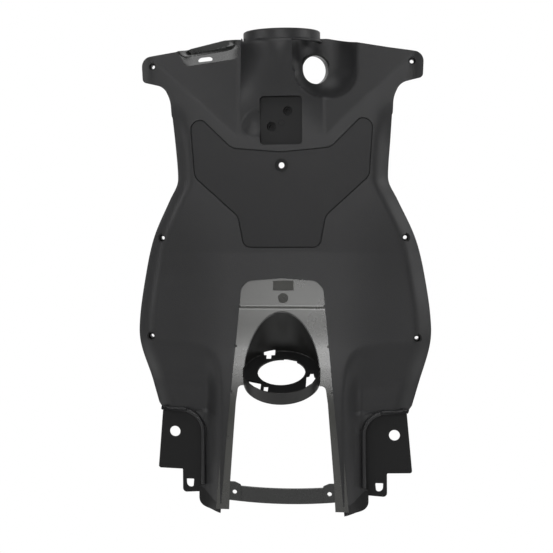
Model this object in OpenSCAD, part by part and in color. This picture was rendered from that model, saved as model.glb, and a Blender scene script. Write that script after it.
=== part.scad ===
// Scooter leg shield: the moulded inner panel between the rider's knees,
// seen from the rider's side along +Y. X is the rider's right, Z is up.
// The origin is at the centre screw, on the face that the service cover seats on.

/* [Shell] */
// Wall thickness of the moulding
wall = 2.6; // [2.2:0.1:3.2]
// Half width across the ears at the top
ear_half_w = 183; // [178:1:188]
// Half width at the waist
waist_half_w = 137.7; // [134:0.1:141]
// Half width at the widest place of the wings
hip_half_w = 191.8; // [187:0.1:196]
// Half width at the lower corners of the wings
foot_half_w = 165; // [161:1:169]
// Height of the top edge beside the collar
top_z = 168; // [164:1:171]
// How far the top edge falls on its way to the ears
top_fall = 25; // [21:1:29]
// Height of an ear from its rounded top to its lower edge
ear_h = 32; // [28:1:38]
// Height of the lower corners of the wings
foot_z = -321; // [-325:1:-316]
// Height of the lower ends of the two legs
leg_end_z = -447; // [-455:1:-440]
// How far the edges of the wings wrap back
edge_wrap = 13; // [8:1:18]
// How far the lower face sweeps towards the rider at the legs
leg_sweep = 38; // [30:1:46]
// How far the footwells lie behind the legs
footwell_depth = 24; // [18:1:30]
// Slope of the shoulders above the two V creases
shoulder_slope = 0.24; // [0.16:0.01:0.3]

/* [Collar and column] */
// Outer radius of the half ring round the steering column
collar_r = 50.7; // [48:0.1:53]
// Height of the half ring of the collar
lip_h = 13; // [10:1:16]
// How far the half ring starts below the top edge
lip_drop = 5.5; // [4:0.5:8]
// Thickness of the lip
lip_t = 3.4; // [2.8:0.1:4.5]
// Half width of the column bulge at the valley beside it
column_half_w = 54; // [52:0.5:58]

/* [Service cover] */
// Half width of the cover at its upper lobes
cover_half_w = 118.5; // [114:0.5:121]
// Height of the upper lobes of the cover
cover_top_z = 60.5; // [56:0.5:64]
// Height of the lower edge of the cover
cover_low_z = -107.5; // [-111:0.5:-103]
// Half width of the lower end of the cover
cover_low_half_w = 50; // [46:0.5:54]
// Groove between the cover and the panel
cover_gap = 0.9; // [0.5:0.1:1.4]
// Width of the seat behind the edge of the cover
seat_w = 7; // [5:0.5:9]
// Clearance between the cover and its seat
seat_gap = 0.2; // [0.1:0.05:0.4]

/* [Recesses] */
// Width of the hook recess
hook_w = 55; // [50:0.5:58]
// Height of the hook recess
hook_h = 63; // [58:0.5:66]
// Depth of the hook recess
hook_depth = 9; // [6:0.5:12]
// Radius of the bowl round the ignition lock
key_bowl_r = 42; // [40:0.5:44]
// Depth of the bowl behind the outer face
key_bowl_y = 34; // [31:0.5:37]
// Radius of the hole for the ignition lock
key_hole_r = 18.5; // [16:0.5:20]
// Depth of the upper left pocket behind the outer face
pocket_y = 40; // [34:1:46]
// Radius of the finger scoop beside the hook recess
finger_r = 26; // [23:0.5:28]

/* [Filler cup] */
// Outer radius of the filler cup
cup_r = 50; // [47:0.5:52]
// Radius of the hole for the filler neck
neck_r = 30.5; // [27:0.5:34]
// Tilt of the cup towards the rider
cup_tilt = 23; // [19:1:27]
// Height of the skirt below the floor of the cup
cup_skirt = 13; // [10:1:17]
// How far the smooth plate lies behind the textured face
plate_setback = 2; // [1.4:0.1:2.2]

/* [Fastenings] */
// Radius of the screw holes
screw_r = 2.6; // [2:0.1:3]
// Radius of the counterbores for the screw heads
head_r = 4.6; // [4:0.1:5.6]
// Depth of the counterbores
head_depth = 1.2; // [0.8:0.1:1.6]
// Radius of the bosses behind the screws
boss_r = 6.6; // [6:0.1:8]
// Height of the bosses behind the panel
boss_h = 8; // [6:0.5:12]
// Radius of the hole for the centre screw
centre_hole_r = 5.5; // [4.5:0.1:6]
// Radius of the counterbore round the centre screw
centre_head_r = 8.8; // [8:0.1:10]
// Distance of the ear screws from the ends of the ears
ear_inset = 15; // [13:0.5:18]
// Distance of the side screws from the edges of the wings
side_inset = 18.8; // [16:0.2:21]
// Radius of the holes in the flaps
flap_hole_r = 7; // [6:0.5:8]
// Distance of the flap holes from the lower corners of the wings
flap_inset = 21.2; // [18:0.2:25]
// Distance of the holes of the tie bar from the inner edges of the legs
bar_inset = 13.3; // [11:0.1:15]
// Radius of the holes of the tie bar
bar_hole_r = 2.8; // [2.2:0.1:3.2]
// Height of the tie bar
bar_h = 20; // [16:0.5:24]

/* [Hidden] */
far = 400;

columns = 38;
column_steps = 6;
rows = 56;
sheet_top_z = top_z + 7;
ear_top_z = top_z - top_fall;
ear_low_z = ear_top_z - ear_h;
ear_r = 13;
waist_z = -12;
hip_z = -212;
neck_half_w = waist_half_w + 5;
neck_z = ear_low_z - 49;
column_low_z = 33;
ear_screw_z = 131;
upper_screw_z = -94.7;
lower_screw_z = -223.7;
flap_hole_z = foot_z - 30;
bar_z = -419;

// Smooth step from 0 to 1 between a and b
function smooth(a, b, x) = let (t = min(max((x - a) / (b - a), 0), 1)) t * t * (3 - 2 * t);

// Smooth curve through keys of the form [place, value], places rising
function key_slope(keys, i) =
    let (a = keys[max(i - 1, 0)], b = keys[min(i + 1, len(keys) - 1)]) (b[1] - a[1]) / (b[0] - a[0]);
function key_at(keys, x, i = 0) = i >= len(keys) - 2 || x <= keys[i + 1][0] ? i : key_at(keys, x, i + 1);
function curve(keys, x) =
    let (
        i = key_at(keys, x),
        a = keys[i],
        b = keys[i + 1],
        h = b[0] - a[0],
        t = min(max((x - a[0]) / h, 0), 1),
        s = 1 - t
    )
    s * s * (1 + 2 * t) * a[1] + t * t * (3 - 2 * t) * b[1]
        + t * s * s * h * key_slope(keys, i) - t * t * s * h * key_slope(keys, i + 1);

// Half width of the wings from the legs up to the neck below the ears
wing_keys = [
    [foot_z, foot_half_w],
    [hip_z - 35, hip_half_w - 4.8],
    [hip_z, hip_half_w],
    [hip_z + 63, hip_half_w - 7],
    [waist_z - 85, (waist_half_w + hip_half_w) / 2 + 8],
    [waist_z - 33, waist_half_w + 11.5],
    [waist_z - 13, waist_half_w + 1.5],
    [waist_z, waist_half_w],
    [waist_z + 45, waist_half_w + 3.2],
    [neck_z, neck_half_w]
];
function sheet_half_w(z) =
    z > neck_z ? neck_half_w + (ear_half_w + 6 - neck_half_w) * smooth(neck_z, ear_low_z - 4, z)
    : z > foot_z ? curve(wing_keys, z)
    : foot_half_w + (leg_out + 8 - foot_half_w) * smooth(foot_z - 4, foot_z - 26, z);

// Sweep of the centre line: flat behind the cover, then towards the rider
sweep_z = cover_low_z - 6;
sweep_keys = [
    [leg_end_z - 8, leg_sweep],
    [-350, 0.87 * leg_sweep],
    [-300, 0.74 * leg_sweep],
    [-262, 0.56 * leg_sweep],
    [-232, 0.37 * leg_sweep],
    [-191, 0.21 * leg_sweep],
    [-150, 0.08 * leg_sweep],
    [sweep_z, 0]
];
function sweep(z) = z < sweep_z ? -curve(sweep_keys, max(z, leg_end_z - 8)) : 0;

// Height of the V crease and of the footwell crease at a place across
function v_crease_z(x) = column_low_z + 0.93 * max(0, abs(x) - column_half_w - 4);
foot_crease_keys = [[70, -330], [75, -268], [82, -247], [92, -236], [110, -230], [190, -225]];
function foot_crease_z(x) = curve(foot_crease_keys, min(max(abs(x), 70), 190));

function shoulder(x, z) =
    let (d = z - v_crease_z(x)) shoulder_slope * (d > 12 ? d - 6 : d > 0 ? d * d / 24 : 0);
function wing_wrap(x, z) =
    let (w = z > neck_z ? ear_half_w + 6 : sheet_half_w(z), low = smooth(-40, -150, z))
    z < foot_z ? 0
    : edge_wrap * pow(smooth(w - 26, w + 4, abs(x)), 1.5) * (z > neck_z ? 0.5 : 1)
        + 10 * low * smooth(70, 190, abs(x));
function footwell(x, z) =
    footwell_depth * smooth(0, 62, foot_crease_z(x) - z) * smooth(leg_in + 2, leg_out - 4, abs(x));
function column(x, z, side_y) =
    let (front_y = (collar_y - column_half_w) * smooth(76, top_z - 10, z), t = abs(x) / column_half_w)
    side_y + (front_y - side_y) * sqrt(1 - t * t);

// Place of the outer face along Y, at x across and z up
function face_y(x, z) =
    let (side_y = shoulder(x, z) + wing_wrap(x, z))
    abs(x) < column_half_w && z > column_low_z ? column(x, z, shoulder(column_half_w, z))
    : side_y + sweep(z) + footwell(x, z);

collar_y = shoulder(column_half_w, top_z);
leg_in = 74;
leg_out = 107;

function row_z(j) = sheet_top_z + (leg_end_z - 4 - sheet_top_z) * j / rows;
function across(t, half_w) =
    let (a = abs(t), inner = 2 * column_steps / columns)
    sign(t) * (a < inner ? column_half_w * sin(90 * a / inner)
        : column_half_w + (half_w - column_half_w) * (a - inner) / (1 - inner));
function face_point(i, j) =
    let (z = row_z(j), x = across(2 * i / columns - 1, sheet_half_w(z))) [x, face_y(x, z), z];
function face_normal(i, j) =
    let (
        across = face_point(min(i + 1, columns), j) - face_point(max(i - 1, 0), j),
        down = face_point(i, min(j + 1, rows)) - face_point(i, max(j - 1, 0)),
        n = cross(down, across)
    )
    n / norm(n);
function back_point(i, j) = face_point(i, j) - wall * face_normal(i, j);

// A sheet between two grids of points, closed round its four edges
function grid_id(i, j, side, nu, nv) = side * (nu + 1) * (nv + 1) + j * (nu + 1) + i;
function quad(a, b, c, d) = [[a, b, c], [a, c, d]];
function sheet_faces(nu, nv) = [
    for (j = [0:nv - 1], i = [0:nu - 1]) each quad(
        grid_id(i, j, 0, nu, nv), grid_id(i + 1, j, 0, nu, nv),
        grid_id(i + 1, j + 1, 0, nu, nv), grid_id(i, j + 1, 0, nu, nv)),
    for (j = [0:nv - 1], i = [0:nu - 1]) each quad(
        grid_id(i, j, 1, nu, nv), grid_id(i, j + 1, 1, nu, nv),
        grid_id(i + 1, j + 1, 1, nu, nv), grid_id(i + 1, j, 1, nu, nv)),
    for (j = [0:nv - 1]) each quad(
        grid_id(0, j, 0, nu, nv), grid_id(0, j + 1, 0, nu, nv),
        grid_id(0, j + 1, 1, nu, nv), grid_id(0, j, 1, nu, nv)),
    for (j = [0:nv - 1]) each quad(
        grid_id(nu, j, 0, nu, nv), grid_id(nu, j, 1, nu, nv),
        grid_id(nu, j + 1, 1, nu, nv), grid_id(nu, j + 1, 0, nu, nv)),
    for (i = [0:nu - 1]) each quad(
        grid_id(i, 0, 0, nu, nv), grid_id(i, 0, 1, nu, nv),
        grid_id(i + 1, 0, 1, nu, nv), grid_id(i + 1, 0, 0, nu, nv)),
    for (i = [0:nu - 1]) each quad(
        grid_id(i, nv, 0, nu, nv), grid_id(i + 1, nv, 0, nu, nv),
        grid_id(i + 1, nv, 1, nu, nv), grid_id(i, nv, 1, nu, nv))
];

module sheet() {
    points = [
        for (j = [0:rows], i = [0:columns]) face_point(i, j),
        for (j = [0:rows], i = [0:columns]) back_point(i, j)
    ];
    polyhedron(points, sheet_faces(columns, rows), convexity = 10);
}

// A block whose front lies in the middle of the wall and whose back is flat
module behind_face(x0, x1, z0, z1, back_y, nu = 8, nv = 8) {
    function at(i, j) = [x0 + (x1 - x0) * i / nu, z1 + (z0 - z1) * j / nv];
    points = [
        for (j = [0:nv], i = [0:nu]) let (p = at(i, j)) [p[0], face_y(p[0], p[1]) + 0.6 * wall, p[1]],
        for (j = [0:nv], i = [0:nu]) let (p = at(i, j)) [p[0], back_y, p[1]]
    ];
    polyhedron(points, sheet_faces(nu, nv), convexity = 4);
}

// Outlines: corners of the form [x, z, radius], walked anticlockwise
function unit(v) = v / norm(v);
function flat(p) = [p[0], p[1]];
function arc_steps(r) = max(2, ceil(sqrt(abs(r)) * 1.6));
function corner(p, q, s) =
    let (
        a = unit(flat(p) - flat(q)),
        b = unit(flat(s) - flat(q)),
        half = acos(max(-1, min(1, a * b))) / 2,
        r = q[2],
        centre = flat(q) + unit(a + b) * r / sin(half),
        from = flat(q) + a * r / tan(half) - centre,
        to = flat(q) + b * r / tan(half) - centre,
        n = arc_steps(r)
    )
    r <= 0 || half > 89.5 ? [flat(q)]
    : [for (k = [0:n]) let (m = from * (1 - k / n) + to * k / n) centre + unit(m) * r];
function rounded(path) =
    let (n = len(path))
    [for (k = [0:n - 1]) each corner(path[(k + n - 1) % n], path[k], path[(k + 1) % n])];
function left_turn(a, b) = a[0] * b[1] - a[1] * b[0];
function grown(path, by) =
    let (n = len(path))
    [for (k = [0:n - 1])
        let (
            a = unit(flat(path[k]) - flat(path[(k + n - 1) % n])),
            b = unit(flat(path[(k + 1) % n]) - flat(path[k])),
            na = [a[1], -a[0]],
            nb = [b[1], -b[0]],
            q = flat(path[k]) + by * (na + nb) / (1 + na * nb)
        )
        [q[0], q[1], max(0.4, path[k][2] + by * (left_turn(a, b) > 0 ? 1 : -1))]];
function mirrored(path) = [for (k = [len(path) - 1:-1:0]) [-path[k][0], path[k][1], path[k][2]]];

// A prism of an outline in the XZ plane, from y0 to y1
module slab(points, y0, y1) {
    translate([0, y1, 0]) rotate([90, 0, 0]) linear_extrude(height = y1 - y0) polygon(points);
}

module drill(x, z, r, y0, y1, sides = 40) {
    translate([x, y1, z]) rotate([90, 0, 0]) cylinder(r = r, h = y1 - y0, $fn = sides);
}

// Outline of the whole sheet, open to the sides where the sheet ends by itself
edge_right = [
    [leg_in + 4, leg_end_z, 3],
    [leg_out - 8, leg_end_z + 2, 12],
    [leg_out + 4, leg_end_z + 15, 7],
    [leg_out + 3, leg_end_z + 28, 2],
    [leg_out - 2, leg_end_z + 30, 2],
    [leg_out - 1, foot_z - 2, 0.45 * (foot_half_w - leg_out)],
    [foot_half_w - 3, foot_z, 4],
    [foot_half_w + 3, foot_z + 8, 1],
    [far, foot_z + 8, 0],
    [far, neck_z - 12, 0],
    [neck_half_w + 0.5, neck_z - 12, 0],
    [neck_half_w + 2, ear_low_z - 25, 40],
    [neck_half_w + 10.5, ear_low_z - 7, 18],
    [ear_half_w - 1, ear_low_z, 6],
    [ear_half_w + 0.5, ear_top_z - 1, ear_r],
    [ear_half_w - 44, ear_top_z + 7.5, 60],
    [column_half_w + 6, top_z - 0.5, 30]
];
edge_path = concat(edge_right, mirrored(edge_right));
// The sheet also ends below the half ring of the collar
collar_step = [[column_half_w - 2.5, top_z - 1, 0], [column_half_w - 2.5, top_z - lip_drop, 0]];
trim_path = concat(edge_right, collar_step, mirrored(collar_step), mirrored(edge_right));

// Opening in the textured face from the plate down between the legs
gap_right = [
    [leg_in + 6, leg_end_z - 10, 0],
    [leg_in - 3, -348, 0],
    [53.5, -160, 9],
    [44, -150, 12],
    [0, -146.5, 0]
];
gap_path = concat([for (p = gap_right) p], mirrored([for (k = [0:3]) gap_right[k]]));

// Cover outline
cover_right = [
    [cover_low_half_w, cover_low_z, 12],
    [cover_low_half_w + 7.5, cover_low_z + 41, 14],
    [cover_half_w - 4.5, -15, 16],
    [cover_half_w + 1, cover_top_z, 13],
    [cover_half_w - 17, cover_top_z, 7],
    [64, 23.5, 16]
];
cover_path = concat(cover_right, [[0, 18, 60]], mirrored(cover_right));

// Hook recess, below the top of the column
hook_z = 27 + hook_h / 2;
hook_path = [
    [hook_w / 2, hook_z - hook_h / 2, 5],
    [hook_w / 2, hook_z + hook_h / 2, 5],
    [-hook_w / 2, hook_z + hook_h / 2, 5],
    [-hook_w / 2, hook_z - hook_h / 2, 5]
];

module hook_tray() {
    intersection() {
        slab(rounded(grown(hook_path, wall)), -20, hook_depth + wall);
        behind_face(-hook_w / 2 - 6, hook_w / 2 + 6, hook_z - hook_h / 2 - 5, hook_z + hook_h / 2 + 6, 40, 6, 6);
    }
}

module hook_space() {
    slab(rounded(hook_path), -60, hook_depth);
    for (p = [[-12.9, 50.8], [8.5, 70.9]]) drill(p[0], p[1], 3.2, hook_depth - 1, hook_depth + far, 32);
}

// Finger scoop that runs into the left side of the hook recess
module finger_ball(r) {
    translate([-hook_w / 2 - 6.5, -17, hook_z - 3]) sphere(r = r, $fn = 64);
}
module finger_tray() {
    intersection() {
        finger_ball(finger_r + wall);
        behind_face(-66, -hook_w / 2 + 4, hook_z - 34, hook_z + 28, 40, 5, 6);
    }
}

// Bowl round the ignition lock, on the right flank of the column, open at the top
key_place = [61, key_bowl_y - key_bowl_r, 125];
key_turn = 25;
module key_bowl(r) {
    translate(key_place) {
        sphere(r = r, $fn = 96);
        rotate([-atan(shoulder_slope), 0, 0]) cylinder(r = r, h = 90, $fn = 96);
    }
}
module key_tray() {
    intersection() {
        key_bowl(key_bowl_r + wall);
        behind_face(key_place[0] - 50.3, key_place[0] + 46.4, key_place[2] - 46.3, sheet_top_z, 60, 14, 10);
        slab(rounded(edge_path), -80, 90);
    }
}
module key_tube() {
    translate(key_place) rotate([0, 0, key_turn]) rotate([-90, 0, 0])
        translate([0, 0, key_bowl_r - 5]) cylinder(r = key_hole_r + wall, h = 10, $fn = 64);
}
module key_hole() {
    translate(key_place) rotate([0, 0, key_turn]) rotate([-90, 0, 0])
        translate([0, 0, key_bowl_r / 2]) cylinder(r = key_hole_r, h = 60, $fn = 64);
}

// Pocket that opens through the top edge, left of the column
pocket_x = ear_half_w - 39;
pocket_path = [
    [-column_half_w - 3, sheet_top_z + 20, 0],
    [-pocket_x, sheet_top_z + 20, 0],
    [-pocket_x, top_z - 2, 0],
    [-pocket_x + 19, top_z - 37, 4],
    [-column_half_w - 4, top_z - 26, 5]
];
pocket_slot = [
    [-pocket_x + 33, top_z - 31, 2],
    [-pocket_x + 58, top_z - 28, 2],
    [-pocket_x + 52, top_z - 23.5, 5],
    [-pocket_x + 37, top_z - 25, 5]
];
module pocket_tray() {
    intersection() {
        slab(rounded(grown(pocket_path, wall)), -20, pocket_y + wall);
        behind_face(-pocket_x - 7, -column_half_w + 1.7, top_z - 46, sheet_top_z, 80, 9, 6);
        slab(rounded(edge_path), -80, 90);
    }
}

// Half ring round the steering column, on a roof that closes the column
module collar() {
    low = top_z - lip_drop;
    translate([0, collar_y, 0]) rotate([0, 0, 180]) rotate_extrude(angle = 180, $fn = 96) polygon([
        [collar_r - lip_t, low - 2.6],
        [column_half_w - 0.5 * wall, low - 2.6],
        [column_half_w - 0.5 * wall, low - 0.3],
        [collar_r, low + 0.3],
        [collar_r, low + lip_h - 1.4],
        [collar_r - 1.4, low + lip_h],
        [collar_r - lip_t, low + lip_h]
    ]);
}

// Smooth plate and strips between the legs, set back behind the face
plate_keys = [-143, -158, -184, -200, -220, -240, -260, -280, -300, -320, -350, -380, -410, leg_end_z + 2];
module plate() {
    section = concat(
        [for (z = plate_keys) [sweep(z) + plate_setback, z]],
        [for (k = [len(plate_keys) - 1:-1:0]) [sweep(plate_keys[k]) + plate_setback + wall, plate_keys[k]]]
    );
    outline = rounded(grown(gap_path, 6));
    hollow = [[-59, -305, 4], [-66.5, leg_end_z + 40, 0], [-69, leg_end_z - 20, 0], [69, leg_end_z - 20, 0],
        [66.5, leg_end_z + 40, 0], [59, -305, 4], [56, -283, 6], [-56, -283, 6]];
    difference() {
        intersection() {
            rotate([90, 0, 90]) linear_extrude(height = 180, center = true) polygon(section);
            slab(outline, -90, 60);
        }
        slab(rounded(hollow), -120, 60);
        cup_frame() translate([0, 0, -60]) cylinder(r = cup_r - wall, h = 210, $fn = 96);
        for (s = [-1, 1], p = [[55, -183], [59.6, -234], [64.4, -291], [68.7, -348]])
            drill(s * (p[0] - 0.5), p[1], 1.6, -80, sweep(p[1]) + plate_setback + 0.6 * wall, 24);
    }
}

// Filler cup: a tilted cup whose back wall is the hood in the plate
cup_z = -265.2;
cup_y = sweep(-189) + plate_setback - 18.5;
module cup_frame() {
    translate([0, cup_y, cup_z]) rotate([cup_tilt, 0, 0]) children();
}
module cup() {
    difference() {
        union() {
            cup_frame() translate([0, 0, -cup_skirt]) difference() {
                cylinder(r = cup_r, h = cup_skirt + 3, $fn = 96);
                translate([0, 0, -1]) cylinder(r = cup_r - wall, h = cup_skirt + 1 - wall, $fn = 96);
            }
            difference() {
                cup_frame() cylinder(r = cup_r, h = 120, $fn = 96);
                front_of_plate();
            }
        }
        cup_frame() cylinder(r = cup_r - wall, h = 150, $fn = 96);
        cup_frame() translate([0, 0, -60]) cylinder(r = neck_r, h = 90, $fn = 80);
        cup_frame() cup_slots();
    }
}

// Slots for the bayonet of the cap and for a drain, through the ledge round the neck
function ring_part(r0, r1, a0, a1) = [
    for (k = [0:6]) let (a = a0 + (a1 - a0) * k / 6) r1 * [cos(a), sin(a)],
    for (k = [6:-1:0]) let (a = a0 + (a1 - a0) * k / 6) r0 * [cos(a), sin(a)]
];
module cup_slots() {
    translate([0, 0, -5]) linear_extrude(height = 8) {
        polygon(ring_part(neck_r + 5, cup_r - 5, 208, 232));
        polygon(ring_part(neck_r + 6, cup_r - 4.5, 240, 247));
        polygon(ring_part(neck_r + 4.5, cup_r - 5, -40, -12));
        polygon(ring_part(neck_r + 3, cup_r - 8, 110, 119));
    }
    translate([0, 0, -1]) linear_extrude(height = 6) polygon(ring_part(cup_r - 9, cup_r + 4, 105, 124));
}

// Everything on the rider's side of the middle of the plate, above the cup's rim
module front_of_plate() {
    keys = [-100, -143, -158, -184, -200, -220, -240, -260];
    edge = [for (z = keys) [sweep(z) + plate_setback + 0.5 * wall, z]];
    rotate([90, 0, 90]) linear_extrude(height = 180, center = true)
        polygon(concat(edge, [[cup_y - 2, cup_z + 2], [cup_y - 70, cup_z + 2 - 70 * tan(cup_tilt)],
            [-200, cup_z + 2 - 70 * tan(cup_tilt)], [-200, -100]]));
}

// Set-back flap beside each leg, with its hole and the tab below it
tab_out = leg_out + 27;
flap_path = [
    [tab_out, foot_z - 111, 5],
    [tab_out, foot_z - 80, 1],
    [foot_half_w + 1.5, foot_z - 79, 3],
    [foot_half_w - 5, foot_z - 2, 3],
    [foot_half_w - 10, foot_z + 8, 2],
    [leg_out - 5, foot_z + 8, 0],
    [leg_out - 5, foot_z - 109, 0]
];
tab_hole_path = [
    [tab_out - 17.5, foot_z - 104, 5.5],
    [tab_out - 5, foot_z - 104, 5.5],
    [tab_out - 5, foot_z - 92, 1],
    [tab_out - 17.5, foot_z - 92, 1]
];
flap_y = sweep(foot_z) + footwell_depth + 5;
module flap() {
    difference() {
        slab(rounded(flap_path), flap_y, flap_y + wall);
        slab(rounded(tab_hole_path), flap_y - 5, flap_y + 20);
    }
}
module flap_wall() {
    slab([[leg_out - 4.6 - wall, foot_z - 108], [leg_out - 4.6, foot_z - 108], [leg_out - 4.6, foot_z - 20],
        [leg_out - 4.6 - wall, foot_z - 20]], sweep(foot_z) + footwell_depth - 4, flap_y + wall);
}

// Rolled lip along the lower edge of the footwell and the outer edge of the leg
lip_arc_r = 0.5 * (foot_half_w - leg_out) - 0.7;
lip_line = concat(
    [for (z = [leg_end_z + 33, -400, -388, -376, -364]) [leg_out - 3.3, z]],
    [for (a = [180:-15:90]) [leg_out - 3.3 + lip_arc_r * (1 + cos(a)), foot_z + 0.7 - lip_arc_r * (1 - sin(a))]],
    [for (k = [0.62, 0.76, 0.9]) [leg_out + k * (foot_half_w - leg_out), foot_z + 0.5 + 0.5 * k]]
);
module rolled_lip() {
    n = len(lip_line) - 1;
    half = 1.7;
    function side_at(k, s) =
        let (d = unit(lip_line[min(k + 1, n)] - lip_line[max(k - 1, 0)])) lip_line[k] + s * half * [-d[1], d[0]];
    function at(k, s, out) = let (p = side_at(k, s)) [p[0], face_y(p[0], p[1]) + out, p[1]];
    points = [for (k = [0:n]) each [at(k, 1, -2), at(k, -1, -2), at(k, -1, 1.3), at(k, 1, 1.3)]];
    faces = concat(
        [[0, 1, 2], [0, 2, 3], [4 * n + 2, 4 * n + 1, 4 * n], [4 * n + 3, 4 * n + 2, 4 * n]],
        [for (k = [0:n - 1], e = [0:3]) let (a = 4 * k + e, b = 4 * k + (e + 1) % 4)
            each [[a, a + 4, b + 4], [a, b + 4, b]]]
    );
    polyhedron(points, faces, convexity = 6);
}

// The end of each leg steps back by a part of the wall, where the floor panel laps over it
end_step = 1.2;
leg_end_path = [
    [leg_in - 8, leg_end_z + 12],
    [leg_in + 14, leg_end_z + 14],
    [leg_out - 9, leg_end_z + 20],
    [leg_out - 2, leg_end_z + 27],
    [leg_out + 12, leg_end_z + 29],
    [leg_out + 12, leg_end_z - 3],
    [leg_in - 8, leg_end_z - 3]
];
module leg_end_step() {
    nu = 5;
    nv = 4;
    function at(i, j) = [leg_in - 9 + 50 * i / nu, leg_end_z + 31 - 36 * j / nv];
    points = [
        for (j = [0:nv], i = [0:nu]) let (p = at(i, j)) [p[0], -120, p[1]],
        for (j = [0:nv], i = [0:nu]) let (p = at(i, j)) [p[0], face_y(p[0], p[1]) + end_step, p[1]]
    ];
    intersection() {
        polyhedron(points, sheet_faces(nu, nv), convexity = 4);
        slab(leg_end_path, -130, 60);
    }
}

// Plain ribs on the hidden side: [x, z from, z to, back]
rib_t = 1.8;
ribs = [[132, -112, -38, 17], [118, -228, -122, 13], [40, -140, -114, 12]];
module rib(r) {
    behind_face(r[0] - rib_t / 2, r[0] + rib_t / 2, r[1], r[2], r[3], 1, 6);
}

// Bowed bar that ties the legs together
module tie_bar() {
    n = 16;
    half = 76;
    function low(t) = bar_z - bar_h / 2 - 4.5 * (1 - t * t);
    points = concat(
        [for (k = [0:n]) let (t = 2 * k / n - 1) [half * t, low(t)]],
        [for (k = [n:-1:0]) let (t = 2 * k / n - 1) [half * t, low(t) + bar_h]]
    );
    slab(points, bar_y, bar_y + 1.2 * wall);
}
bar_y = sweep(bar_z) + plate_setback + 1;

// Screw places: [x, z]
screw_places = [
    [ear_half_w - ear_inset, ear_screw_z],
    [sheet_half_w(upper_screw_z) - 0.7 * side_inset, upper_screw_z],
    [sheet_half_w(lower_screw_z) - side_inset, lower_screw_z]
];

module boss(x, z) {
    y = face_y(x, z);
    drill(x, z, boss_r, y + 0.6 * wall, y + wall + boss_h, 36);
}

module screw_hole(x, z) {
    y = face_y(x, z);
    drill(x, z, screw_r, y - 20, y + 40);
    drill(x, z, head_r, y - 20, y + head_depth + 0.4);
}

seat_y = wall + seat_gap;
centre_boss_h = 12;
module seat_block() {
    slab(rounded(grown(cover_path, 4)), 0.7 * wall, seat_y + wall);
}

module seat_window() {
    difference() {
        slab(rounded(grown(cover_path, -seat_w)), -10, 40);
        drill(0, 0, centre_head_r + 6, -far, far, 48);
        slab([[-centre_head_r - 6, 0], [centre_head_r + 6, 0], [centre_head_r + 6, 30], [-centre_head_r - 6, 30]],
            -far, far);
    }
}

module leg_shield() {
    color("#3b3b3c")
    translate([0, -seat_y, 0]) difference() {
        union() {
            difference() {
                union() {
                    intersection() {
                        sheet();
                        slab(rounded(trim_path), -120, 120);
                    }
                    seat_block();
                    hook_tray();
                    finger_tray();
                    key_tray();
                    key_tube();
                    pocket_tray();
                }
                slab(rounded(gap_path), -120, 60);
                slab(rounded(cover_path), -5, seat_y);
                hook_space();
                finger_ball(finger_r);
                key_bowl(key_bowl_r);
                key_hole();
                slab(rounded(pocket_path), -80, pocket_y);
                slab(rounded(pocket_slot), pocket_y - 5, pocket_y + 20);
            }
            plate();
            cup();
            for (s = [0, 1]) mirror([s, 0, 0]) {
                flap();
                flap_wall();
                rolled_lip();
                for (r = ribs) rib(r);
            }
            tie_bar();
            collar();
            for (s = [-1, 1], p = screw_places) boss(s * p[0], p[1]);
            drill(0, 0, centre_hole_r + 3.5, seat_y + 0.5, seat_y + centre_boss_h, 48);
        }
        seat_window();
        for (s = [0, 1]) mirror([s, 0, 0]) leg_end_step();
        for (s = [-1, 1], p = screw_places) screw_hole(s * p[0], p[1]);
        for (s = [-1, 1]) {
            drill(s * (foot_half_w - flap_inset), flap_hole_z, flap_hole_r, -60, 60);
            drill(s * (leg_in - bar_inset), bar_z, bar_hole_r, -90, 60);
        }
        drill(0, 0, centre_hole_r - 1.5, -10, 60, 48);
    }
}

module service_cover() {
    color("#38383a")
    translate([0, -seat_y, 0]) difference() {
        slab(rounded(grown(cover_path, -cover_gap)), 0, wall);
        drill(0, 0, centre_hole_r, -10, 20, 48);
        drill(0, 0, centre_head_r, -10, 1.1, 48);
    }
}

leg_shield();
service_cover();
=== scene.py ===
# %% [markdown]
# # A scooter's inner leg shield
#
# This lesson dresses the moulded panel between a rider's knees. The solids come from the frame,
# which is loaded first and never moved. Over them we model the finished plastic: one large
# moulding with a fine grain, and the smooth places that other parts cover on the scooter.

# %% Load the frame
import math

import bpy
from mathutils import Matrix, Vector


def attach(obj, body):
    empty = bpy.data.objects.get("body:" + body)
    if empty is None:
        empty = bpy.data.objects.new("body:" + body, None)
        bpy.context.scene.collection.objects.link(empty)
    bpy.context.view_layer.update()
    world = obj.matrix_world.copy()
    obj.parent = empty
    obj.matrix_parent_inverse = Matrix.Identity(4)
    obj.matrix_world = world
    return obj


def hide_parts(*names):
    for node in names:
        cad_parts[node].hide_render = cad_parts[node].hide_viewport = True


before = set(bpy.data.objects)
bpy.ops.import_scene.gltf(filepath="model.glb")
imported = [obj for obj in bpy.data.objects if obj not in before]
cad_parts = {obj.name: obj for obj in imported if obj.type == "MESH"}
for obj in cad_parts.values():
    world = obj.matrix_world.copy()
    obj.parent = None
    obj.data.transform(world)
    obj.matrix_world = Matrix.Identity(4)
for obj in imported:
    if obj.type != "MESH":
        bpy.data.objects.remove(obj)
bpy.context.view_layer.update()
MM = 0.001
print("nodes:", sorted(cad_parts))

# %% [markdown]
# ## The sizes that everything shares
#
# The panel hangs on one screw, whose seat is the origin. X runs to the rider's right and Z up,
# and the outer face looks along -Y. All lengths are in millimetres until a mesh is made. The
# outer face of the flat middle lies one wall and a small clearance in front of the seat.

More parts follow.
